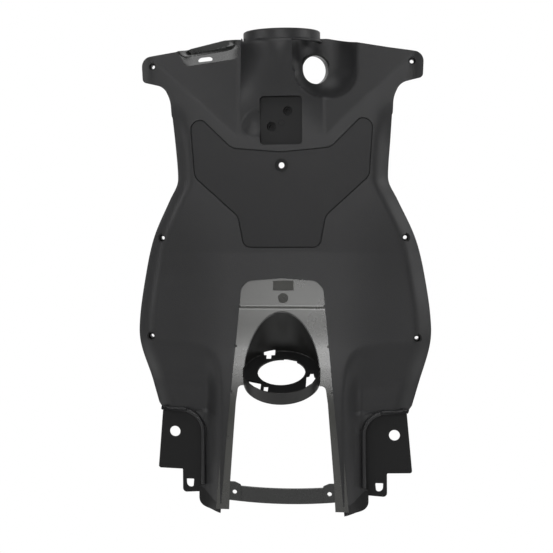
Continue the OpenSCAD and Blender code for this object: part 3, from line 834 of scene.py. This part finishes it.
mark_ring = revolve("mark_ring", [(1.6, 0), (2.6, 0), (2.6, 0.8), (1.6, 0.8)], steps=48)
put(mark_ring, (MARK_X, sweep(MARK_Z) + PLATE_BACK + 1.5, MARK_Z), (math.pi / 2, 0, 0))
report(plate, mark_ring)

# %% [markdown]
# ## The filler cup and its hood
#
# The cup is turned from a profile and tilted towards the rider, with a hole for the filler neck in
# its ledge. Its skirt gets shorter towards the back, so that nothing shows through the hole. The
# back wall runs on up through the plate as the hood, so the arch where they meet comes by itself.

# %% Filler cup
NECK_R = 30.5
SKIRT = 17
SKIRT_RISE = 0.05
cup = revolve("filler_cup", [
    (NECK_R, -WALL), (CUP_R - WALL, -WALL), (CUP_R - WALL, -SKIRT), (CUP_R - 0.6, -SKIRT),
    (CUP_R, 0.6 - SKIRT), (CUP_R, 0.2), (CUP_R - 0.4, 0.6), (CUP_R - 1.2, 0.6), (CUP_R - 1.8, 0),
    (NECK_R, 0),
])
for vertex in cup.data.vertices:
    if vertex.co.z < -10 * MM:
        vertex.co.z += SKIRT_RISE * (vertex.co.y + CUP_R * MM)


def cup_cutter(name, points, low, high):
    """A cutter with an outline in the plane of the ledge, between two heights along the axis."""
    return extrude(flat_piece(name, [(x, y, low) for x, y in points]), (0, 0, high - low))


ledge_slots = {
    "crescent": [(-41.5, -20), (-38.5, -27.5), (-32.5, -34.5), (-24, -41), (-24, -25.5)],
    "drain": [(-20, -32), (-20, -43), (-14.5, -45), (-14.5, -32)],
    "catch": [(32.4, -34.5), (40, -25.5), (44.6, -13), (42, -8), (41, -1), (37, -1), (36, -7),
              (32.4, -9)],
    "stem": [(-22, 30), (-15.5, 30), (-15.5, 40), (-22, 40)],
}
slots = [cup_cutter(name, points, -5, 0.9) for name, points in ledge_slots.items()]
cut(cup, combine(slots, "cup_slots"))
head = [(-25.5, 38.5), (-11, 38.5), (-11, 54), (-25.5, 54)]
cut(cup, cup_cutter("head", head, -19, 2.6))
cut(cup, cup_cutter("hole_notch", [(1, 28), (18, 22), (19.5, 27.5), (1.5, 33.5)], -5, 5))
soften(cup, 0.4)
put(cup, CUP_CENTRE, (CUP_TILT, 0, 0))
report(cup)

# %% Hood
hood = hood_cylinder("hood", -2, CUP_R + 0.2, 120, 256)
cut(hood, hood_cylinder("hood_inside", -5, CUP_R - 1.2, 160, 256))
tee_head = cup_cutter("tee_head", head, -19, 2.6)
put(tee_head, CUP_CENTRE, (CUP_TILT, 0, 0))
edge = [(sweep(z) + PLATE_BACK - 0.7, z) for z in range(-100, -262, -2)]
side = edge + [(CUP_Y - 2, CUP_Z + 2), (CUP_Y - 2, CUP_Z - 60), (-200, CUP_Z - 60), (-200, -100)]
HALF_CUT = 90
in_front = flat_piece("in_front", [(-HALF_CUT, y - SEAT_Y, z) for y, z in side])
cut(hood, extrude(in_front, (2 * HALF_CUT, 0, 0)))
cut(hood, tee_head)
report(hood)

# %% [markdown]
# ## Flaps, tabs and the tie bar
#
# Beside each leg a flap lies further back, where the floor panel screws on. It ends in a tab with
# a hole, and a short wall joins it to the leg. A bowed bar ties the ends of the legs together.

# %% Flaps
FLAP_Y = sweep(FOOT_Z) + FOOTWELL + 10
TAB_OUT = LEG_OUT + 27
FLAP_HOLE = (143.8, -351)
flap_path = [
    (TAB_OUT, FOOT_Z - 111, 5),
    (TAB_OUT, FOOT_Z - 80, 1),
    (FOOT_HALF_W + 1.5, FOOT_Z - 79, 3),
    (FOOT_HALF_W - 5, FOOT_Z - 2, 3),
    (FOOT_HALF_W - 10, FOOT_Z + 5, 2),
    (LEG_OUT - 5, FOOT_Z + 5, 0),
    (LEG_OUT - 5, FOOT_Z - 109, 0),
]
flap_hole_path = [(TAB_OUT - 14, FOOT_Z - 104, 3), (TAB_OUT - 5.5, FOOT_Z - 104, 5.5),
                  (TAB_OUT - 5, FOOT_Z - 93, 1), (TAB_OUT - 15, FOOT_Z - 93, 1)]
flaps = []
wall_out = LEG_OUT - 4.6
wall_in = wall_out - WALL
right_side = (flap_path, flap_hole_path, 1)
left_side = (mirrored(flap_path), mirrored(flap_hole_path), -1)
for path, hole, s in (right_side, left_side):
    flap = prism("flap", rounded(path), FLAP_Y, FLAP_Y + WALL)
    cut(flap, prism("tab_hole", rounded(hole), FLAP_Y - 5, FLAP_Y + 20))
    cut(flap, drill("flap_hole", s * FLAP_HOLE[0], FLAP_HOLE[1], 7.0, -60, 60))
    soften(flap, 0.5)
    wall_path = [(s * wall_in, FOOT_Z - 108), (s * wall_out, FOOT_Z - 108),
                 (s * wall_out, FOOT_Z - 20), (s * wall_in, FOOT_Z - 20)]
    flap_wall = prism("flap_wall", wall_path[::s], sweep(FOOT_Z) + FOOTWELL - 4, FLAP_Y + WALL)
    flaps += [flap, flap_wall]
report(*flaps)

# %% Tie bar
BAR_Z = -419.0
BAR_Y = sweep(BAR_Z) + PLATE_BACK + 1
BAR_HOLE_X = 60.7
BAR_BOW = 4.5
bar_low = [(76 * t / 12, BAR_Z - 10 - BAR_BOW * (1 - (t / 12) ** 2)) for t in range(-12, 13)]
bar_high = [(x, z + 20) for x, z in reversed(bar_low)]
tie_bar = prism("tie_bar", bar_low + bar_high, BAR_Y, BAR_Y + 1.2 * WALL)
bar_holes = [drill("bar_hole", s * BAR_HOLE_X, BAR_Z, 2.8, -90, 60) for s in (-1, 1)]
cut(tie_bar, combine(bar_holes, "bar_holes"))
soften(tie_bar, 0.8, 3)
bar_ends = []
for s in (-1, 1):
    end_path = [(s * x, z, radius) for x, z, radius in (
        (70, BAR_Z - 9.5, 1), (70, BAR_Z + 14, 1), (60, BAR_Z + 13.5, 2), (52.5, BAR_Z + 10, 2),
        (52.5, BAR_Z - 11, 1))]
    end = prism("bar_end", rounded(end_path[::-s]), BAR_Y - 1.3, BAR_Y + 0.6)
    cut(end, drill("bar_end_hole", s * BAR_HOLE_X, BAR_Z, 2.8, -90, 60))
    bar_ends.append(soften(end, 0.5))
report(tie_bar, *bar_ends)

# %% [markdown]
# ## Rolled lips
#
# The lower edge of each footwell and the outer edge of each leg end in a rolled lip, so that no
# sharp edge rubs on the floor panel. Its round section is swept along the edge on the outer face.

# %% Rolled lips
def sweep_section(name, path, radius, sides=12, out=0.4):
    """A round section swept along places (x, z) on the outer face."""
    rows = len(path) - 1
    deselect()
    bpy.ops.mesh.primitive_grid_add(x_subdivisions=sides, y_subdivisions=rows, size=2.0)
    obj = bpy.context.object
    obj.name = name
    places = [Vector((x, face_y(x, z) - out, z)) for x, z in path]
    for vertex in obj.data.vertices:
        k = round((vertex.co.y + 1) / 2 * rows)
        turn = math.pi * (vertex.co.x + 1)
        along = (places[min(k + 1, rows)] - places[max(k - 1, 0)]).normalized()
        side = along.cross(Vector((0, 1, 0))).normalized()
        outward = side.cross(along)
        p = places[k] + radius * (math.cos(turn) * side + math.sin(turn) * outward)
        vertex.co = (p.x * MM, (p.y - SEAT_Y) * MM, p.z * MM)
    bpy.ops.object.mode_set(mode="EDIT")
    bpy.ops.mesh.select_all(action="SELECT")
    bpy.ops.mesh.remove_doubles(threshold=1e-6)
    bpy.ops.mesh.select_all(action="DESELECT")
    bpy.ops.mesh.select_non_manifold()
    bpy.ops.mesh.edge_face_add()
    bpy.ops.mesh.select_all(action="SELECT")
    bpy.ops.mesh.normals_make_consistent(inside=False)
    bpy.ops.object.mode_set(mode="OBJECT")
    return obj


ARC_R = 28.0
LIP_R = 3.0
lip_x, lip_z = LEG_OUT - 3.0, FOOT_Z + 1.0
lip_line = [(lip_x, LEG_END_Z + 31 + 3 * k) for k in range(23)]
lip_line += [(lip_x + ARC_R * (1 + math.cos(a)), lip_z - ARC_R * (1 - math.sin(a)))
             for a in (math.pi * (1 - k / 32) for k in range(17))]
lip_line += [(lip_x + ARC_R + 2.4 * k, lip_z) for k in range(1, 12)]
lips = [sweep_section("rolled_lip", [(s * x, z) for x, z in lip_line], LIP_R) for s in (-1, 1)]
report(*lips)

# %% [markdown]
# ## Screw seats
#
# Each screw sits in a shallow counterbore in the outer face, and a boss stands behind it.

# %% Bosses
bosses = []
for x, z in SCREWS:
    for s in (-1, 1):
        y = face_y(s * x, z)
        piece = drill("screw_boss", s * x, z, 6.6, y + 0.6 * WALL, y + WALL + 10)
        cut(piece, drill("boss_bore", s * x, z, SCREW_R, y - 20, y + 40))
        cut(piece, drill("boss_seat", s * x, z, HEAD_R, y - 20, y + HEAD_DEPTH))
        bosses.append(piece)
report(*bosses)

# %% [markdown]
# ## Ribs on the hidden side
#
# Upright ribs stiffen the flat parts of the back. Each one starts inside the wall.

# %% Ribs
RIBS = [(132, -112, -38, 17), (118, -228, -122, 13), (40, -140, -114, 12)]
HALF_RIB = 0.9
ribs = []
for x, z0, z1, depth in RIBS:
    for s in (-1, 1):
        x0, x1 = s * x - HALF_RIB, s * x + HALF_RIB
        rib = behind_face("rib", x0, x1, z0, z1, depth - 0.6 * WALL, 10)
        ribs.append(soften(rib, 0.3))
report(*ribs)

# %% [markdown]
# ## Plastics
#
# The shield is injection-moulded polypropylene. Where it shows, the mould was etched, so the face
# has a fine matt grain. Where another part covers it, the mould was only polished, so the plastic
# is smooth and mirrors the room softly. All are one material with other numbers, so one function
# makes them. The real grain is about half a millimetre wide. That is finer than a pixel here, so
# it is drawn about three times as coarse.

# %% Colour and node helpers
def srgb(hex_colour):
    """Turns an sRGB hex colour into the linear values that a shader takes."""
    parts = [int(hex_colour[i:i + 2], 16) / 255 for i in (0, 2, 4)]
    linear = [c / 12.92 if c <= 0.04045 else ((c + 0.055) / 1.055) ** 2.4 for c in parts]
    return (*linear, 1.0)


def add_node(material, kind, settings=None, links=None):
    """Adds a node, sets its values and links its inputs from other sockets."""
    node = material.node_tree.nodes.new(kind)
    for key, value in (settings or {}).items():
        if isinstance(key, str) and hasattr(node, key):
            setattr(node, key, value)
        else:
            node.inputs[key].default_value = value
    for key, socket in (links or {}).items():
        material.node_tree.links.new(socket, node.inputs[key])
    return node


# %% Moulded plastic
MOTTLE_MM = 111.11
ROUGH_SPREAD = 0.06


def plastic(name, dark, light, roughness, grain_mm, grain_depth_mm, shine=0.5):
    """Moulded black plastic: a fine bump, and slow changes of colour and gloss."""
    material = bpy.data.materials.new(name)
    material.use_nodes = True
    material.node_tree.nodes.clear()
    place = add_node(material, "ShaderNodeTexCoord")
    slow = add_node(material, "ShaderNodeTexNoise", {"Scale": 1 / (MOTTLE_MM * MM), "Detail": 3.0},
                    {"Vector": place.outputs["Object"]})
    grain = add_node(material, "ShaderNodeTexNoise",
                     {"Scale": 1 / (grain_mm * MM), "Detail": 2.0, "Roughness": 0.6},
                     {"Vector": place.outputs["Object"]})
    mottle = add_node(material, "ShaderNodeMix", {"data_type": "FLOAT", 0: 0.6},
                      {2: slow.outputs["Fac"], 3: grain.outputs["Fac"]})
    colour = add_node(material, "ShaderNodeMix",
                      {"data_type": "RGBA", 6: srgb(dark), 7: srgb(light)},
                      {0: mottle.outputs[0]})
    rough = add_node(material, "ShaderNodeMapRange",
                     {"To Min": roughness - ROUGH_SPREAD, "To Max": roughness + ROUGH_SPREAD},
                     {"Value": slow.outputs["Fac"]})
    bump = add_node(material, "ShaderNodeBump", {"Strength": 0.6, "Distance": grain_depth_mm * MM},
                    {"Height": grain.outputs["Fac"]})
    shader = add_node(material, "ShaderNodeBsdfPrincipled",
                      {"IOR": 1.49, "Specular IOR Level": shine},
                      {"Base Color": colour.outputs[2], "Roughness": rough.outputs[0],
                       "Normal": bump.outputs[0]})
    add_node(material, "ShaderNodeOutputMaterial", links={"Surface": shader.outputs[0]})
    return material


# Etched face: matt, soft black that breaks up the light.
grained = plastic("grained_polypropylene", "131314", "232324", 0.48, 1.4, 0.2, 0.36)
# The cover comes from a mould of its own. Its plastic is drawn a little darker than the panel round
# it.
cover_black = plastic("cover_polypropylene", "101011", "1d1d1e", 0.5, 1.4, 0.2, 0.3)
# Plain mould face: smooth, with soft highlights.
smooth_black = plastic("smooth_polypropylene", "1a1b1a", "242524", 0.25, 4.0, 0.02)
# Cup and hood: smooth, but never polished, so they stay dark.
cup_black = plastic("cup_polypropylene", "131312", "1b1b1a", 0.36, 4.0, 0.03, 0.4)
# Painted shade: a very dark, almost matt plastic for the recesses, counterbores, flaps, the cup's
# ledge and the stepped leg ends, where shade falls, and for the unseen pieces behind the cover.
painted_shade_black = plastic("painted_shade_polypropylene", "090909", "101011", 0.55, 0.9, 0.08, 0.25)
# Polished mould face between the legs: it mirrors the bright room, and its colour is a lighter grey
# than the black moulding, a painted reflection on top of the real gloss.
polished_painted_sheen = plastic("polished_painted_sheen_polypropylene", "22221f", "2e2e29", 0.28, 6.0, 0.03, 0.75)
print("plastics:", len(bpy.data.materials))

# %% [markdown]
# ## Finishing the pieces
#
# Every piece gets its plastic, smooth shading with sharp edges kept, and normals weighted by area,
# so that flat faces stay flat next to rounded edges. Then each one is attached to the root body,
# and the node that it stands for is hidden.

# %% Finish each piece
def finish_piece(obj, material, angle=35):
    """Gives a finished piece its material, shading and body."""
    pick(obj)
    obj.data.materials.clear()
    obj.data.materials.append(material)
    bpy.ops.object.shade_smooth_by_angle(angle=math.radians(angle))
    normals = obj.modifiers.new("normals", "WEIGHTED_NORMAL")
    normals.keep_sharp = True
    apply_all(obj)
    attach(obj, "root")
    return obj


# Pieces that get the painted shade: the hook recess, counterbores, flaps and pieces behind the
# cover.
shaded = [hook_tray, *hook_sleeves, *flaps, seat, bridge, boss, *bosses]
plastics = (
    (grained, [panel, collar, *lips, *ribs]),
    (painted_shade_black, shaded),
    (smooth_black, [pocket_tray, barrel, tie_bar, *bar_ends]),
    (polished_painted_sheen, [plate, mark_ring]),
    (cup_black, [cup, hood]),
)
for material, pieces in plastics:
    for piece in pieces:
        finish_piece(piece, material)
        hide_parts("leg_shield")
finish_piece(cover, cover_black)
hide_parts("service_cover")

# %% [markdown]
# ## Faces with painted shade
#
# Three places of finished pieces were covered on the scooter as well: the ledge of the cup, the
# stepped leg ends and the seat of the cover's screw. Shade falls in them, so their faces take a
# second material, the dark plastic of painted shade.

# %% Darker faces
STEP_KEYS = [
    (LEG_IN - 8, 12.0),
    (LEG_IN + 14, 14.0),
    (LEG_OUT - 9, 20.0),
    (LEG_OUT - 2, 27.0),
    (LEG_OUT + 12, 29.0),
]


def darken(obj, inside):
    """Gives the faces whose middle lies inside a region the dark plastic of painted shade."""
    obj.data.materials.append(painted_shade_black)
    for face in obj.data.polygons:
        x, y, z = (c / MM for c in face.center)
        if inside(x, y + SEAT_Y, z):
            face.material_index = 1
    # Counts the faces given the dark plastic of painted shade.
    print(obj.name, "has", sum(f.material_index for f in obj.data.polygons), "covered faces")


def cup_ledge(x, y, z):
    """Whether a place lies on the ledge or in the cup, inside the skirt's outer face."""
    place = Vector((x, y, z)) - Vector(CUP_CENTRE)
    height = place.dot(Vector(CUP_AXIS))
    return height < 0.3 and (place - Vector(CUP_AXIS) * height).length < CUP_R - 0.9


darken(cup, cup_ledge)
darken(panel, lambda x, y, z: z < LEG_END_Z + 29 and z < LEG_END_Z + curve(STEP_KEYS, abs(x)))
darken(cover, lambda x, y, z: math.hypot(x, z) < 8.75)

# %% [markdown]
# ## Floor, light and camera
#
# A product picture on white: a pale floor and backdrop that show white to the camera, in
# reflections and through glass, while the light still finds a plain pale surface there, so the
# floor keeps the shadow.

# %% Floor and backdrop
WHITE = (1, 1, 1, 1)
STAGE_SIZE = 6.0
FLOOR_Z = -0.47


def larger(owner, a, b):
    """The larger of two sockets."""
    return add_node(owner, "ShaderNodeMath", {"operation": "MAXIMUM"}, {0: a, 1: b}).outputs[0]


def flat_white(name):
    """White where it is seen, and a plain pale surface to the light."""
    material = bpy.data.materials.new(name)
    material.use_nodes = True
    material.node_tree.nodes.clear()
    ray = add_node(material, "ShaderNodeLightPath").outputs
    seen = larger(material, ray["Is Camera Ray"], ray["Is Glossy Ray"])
    seen = larger(material, seen, ray["Is Transmission Ray"])
    glow = add_node(material, "ShaderNodeEmission", {"Color": WHITE, "Strength": 1.0})
    pale = add_node(material, "ShaderNodeBsdfDiffuse", {"Color": srgb("d9d9d9")})
    mix = add_node(material, "ShaderNodeMixShader",
                   links={0: seen, 1: pale.outputs[0], 2: glow.outputs[0]})
    add_node(material, "ShaderNodeOutputMaterial", links={"Surface": mix.outputs[0]})
    return material


def stage_plane(name, place, turn):
    """A large flat sheet that belongs to the studio and not to the part."""
    deselect()
    bpy.ops.mesh.primitive_plane_add(size=STAGE_SIZE, location=place, rotation=turn)
    plane = bpy.context.object
    plane.name = name
    plane.data.materials.append(flat_white("pale_" + name))


stage_plane("floor", (0, 0, FLOOR_Z), (0, 0, 0))
stage_plane("backdrop", (0, 1.2, 1.0), (math.pi / 2, 0, 0))

# %% [markdown]
# ## The room
#
# The world gives a faint light that grows upwards and towards the back, as a dim room does. Beyond
# the floor and backdrop it is white where it is seen. Reflections show that white only towards the
# backdrop, because the camera's side of a studio is dark.

# %% World
TO_BACKDROP = 0.4
world = bpy.data.worlds.new("studio")
bpy.context.scene.world = world
world.use_nodes = True
room = world.node_tree.nodes["Background"]
way = add_node(world, "ShaderNodeTexCoord")
split = add_node(world, "ShaderNodeSeparateXYZ", links={0: way.outputs["Generated"]})
height = add_node(world, "ShaderNodeMapRange",
                  {"From Min": -0.3, "From Max": 0.9, "To Min": 0.02, "To Max": 0.3},
                  {"Value": split.outputs["Z"]})
back = add_node(world, "ShaderNodeMapRange",
                {"From Min": -0.9, "From Max": 0.3, "To Min": 0.3, "To Max": 1.0},
                {"Value": split.outputs["Y"]})
total = add_node(world, "ShaderNodeMath", {"operation": "MULTIPLY"},
                 {0: height.outputs[0], 1: back.outputs[0]})
world.node_tree.links.new(total.outputs[0], room.inputs["Strength"])
ray = add_node(world, "ShaderNodeLightPath").outputs
behind = add_node(world, "ShaderNodeMath", {"operation": "GREATER_THAN", 1: TO_BACKDROP},
                  {0: split.outputs["Y"]})
in_mirror = add_node(world, "ShaderNodeMath", {"operation": "MULTIPLY"},
                     {0: ray["Is Glossy Ray"], 1: behind.outputs[0]})
seen = larger(world, ray["Is Camera Ray"], ray["Is Transmission Ray"])
seen = larger(world, seen, in_mirror.outputs[0])
white = add_node(world, "ShaderNodeBackground", {"Color": WHITE, "Strength": 1.0})
mix = add_node(world, "ShaderNodeMixShader",
               links={0: seen, 1: room.outputs[0], 2: white.outputs[0]})
world.node_tree.links.new(mix.outputs[0], world.node_tree.nodes["World Output"].inputs["Surface"])
print("world nodes:", len(world.node_tree.nodes))

# %% [markdown]
# ## The lamps
#
# Four soft boxes: one in front, one on each side to draw the edges, and a wide one above, which
# gives the faces that look up their sheen.

# %% Lamps
def soft_lamp(name, place, target, width, depth, power):
    """A soft box aimed at a point."""
    deselect()
    bpy.ops.object.light_add(type="AREA", location=place)
    lamp = bpy.context.object
    lamp.name = name
    lamp.data.shape = "RECTANGLE"
    lamp.data.size = width
    lamp.data.size_y = depth
    lamp.data.energy = power
    aim = Vector(target) - Vector(place)
    lamp.rotation_euler = aim.to_track_quat("-Z", "Y").to_euler()
    return lamp


soft_lamp("front_light", (0.0, -1.7, 0.3), (0, 0, -0.1), 0.7, 0.46, 9.5)
soft_lamp("left_light", (-1.4, -0.8, 0.4), (0, 0, 0), 0.8, 0.8, 9)
soft_lamp("right_light", (1.5, -0.4, 0.35), (0, 0, 0), 0.7, 0.7, 10)
soft_lamp("top_light", (0.0, -0.9, 1.3), (0, 0, 0), 1.3, 0.8, 13)
print("lamps:", len(bpy.data.lights))

# %% [markdown]
# ## The camera
#
# A camera level with the panel and a little to its right, turned to it. The shift puts the origin
# of the part at its place in the frame, and the focal length follows from the distance and from
# the millimetres that one pixel covers.

# %% Camera
CAMERA_PLACE = Vector((0.097, -1.4, -0.012))
CAMERA_YAW = math.radians(7.0)
CAMERA_PITCH = math.radians(1.72)
CAMERA_ROLL = math.radians(0.55)
MIDDLE_X, MIDDLE_Z = 224.5, 207.4
PIXELS = 553
MM_PER_PIXEL = 1.3
DISTANCE_MM = 1400
SENSOR = 36.0
bpy.ops.object.camera_add()
camera = bpy.context.object
camera.name = "camera"
camera.location = CAMERA_PLACE
look = Vector((-math.sin(CAMERA_YAW) * math.cos(CAMERA_PITCH),
               math.cos(CAMERA_YAW) * math.cos(CAMERA_PITCH), -math.sin(CAMERA_PITCH)))
turn = look.to_track_quat("-Z", "Y").to_matrix() @ Matrix.Rotation(-CAMERA_ROLL, 3, "Z")
camera.rotation_euler = turn.to_euler()
camera.data.sensor_width = SENSOR
camera.data.lens = SENSOR * DISTANCE_MM / MM_PER_PIXEL / PIXELS
camera.data.shift_x = (PIXELS / 2 - MIDDLE_X) / PIXELS
camera.data.shift_y = (MIDDLE_Z - PIXELS / 2) / PIXELS
bpy.context.scene.camera = camera
bpy.context.scene.view_settings.view_transform = "Standard"
print("focal length:", round(camera.data.lens, 1), "mm")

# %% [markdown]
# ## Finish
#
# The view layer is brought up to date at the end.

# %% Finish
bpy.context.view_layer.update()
